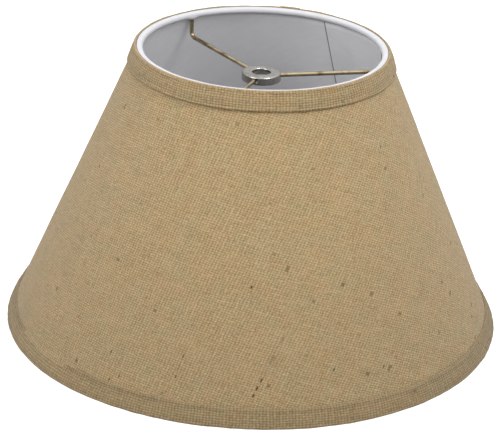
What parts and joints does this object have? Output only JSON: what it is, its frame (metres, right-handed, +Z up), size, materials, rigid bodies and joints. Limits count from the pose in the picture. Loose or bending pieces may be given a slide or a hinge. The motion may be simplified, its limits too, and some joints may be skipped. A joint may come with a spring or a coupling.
{
  "type": "lamp shade",
  "caption": "Round tapered hardback lamp shade in coarse burlap, with folded trim at both rims, a stiff liner and a recessed washer fitter.",
  "frame": {"origin": "centre of the bottom rim, on the surface that the shade stands on", "axes": "+Z up the shade's axis towards the fitter; -Y is the side seen from the front; the liner's lap seam is at the back right"},
  "size_m": [0.3082, 0.3082, 0.1785],
  "materials": {
    "burlap": "coarse plain-weave burlap, natural tan",
    "burlap_trim": "folded burlap strip, slightly paler",
    "liner_styrene": "matt off-white sheet with a faint mottle",
    "cloth_tape": "white cotton tape",
    "ring_wire": "plain drawn wire",
    "arm_wire": "nickel-plated wire, polished",
    "hub_nickel": "nickel plate, satin on top and polished in the hole"
  },
  "bodies": {
    "root": {"burlap_cover": "burlap", "top_trim": "burlap_trim", "bottom_trim": "burlap_trim", "liner": "liner_styrene", "top_tape": "cloth_tape", "bottom_tape": "cloth_tape", "top_ring": "ring_wire", "bottom_ring": "ring_wire", "fitter_arm_left": "arm_wire", "fitter_arm_right": "arm_wire", "fitter_arm_front": "arm_wire", "fitter_hub": "hub_nickel"}
  },
  "joints": []
}
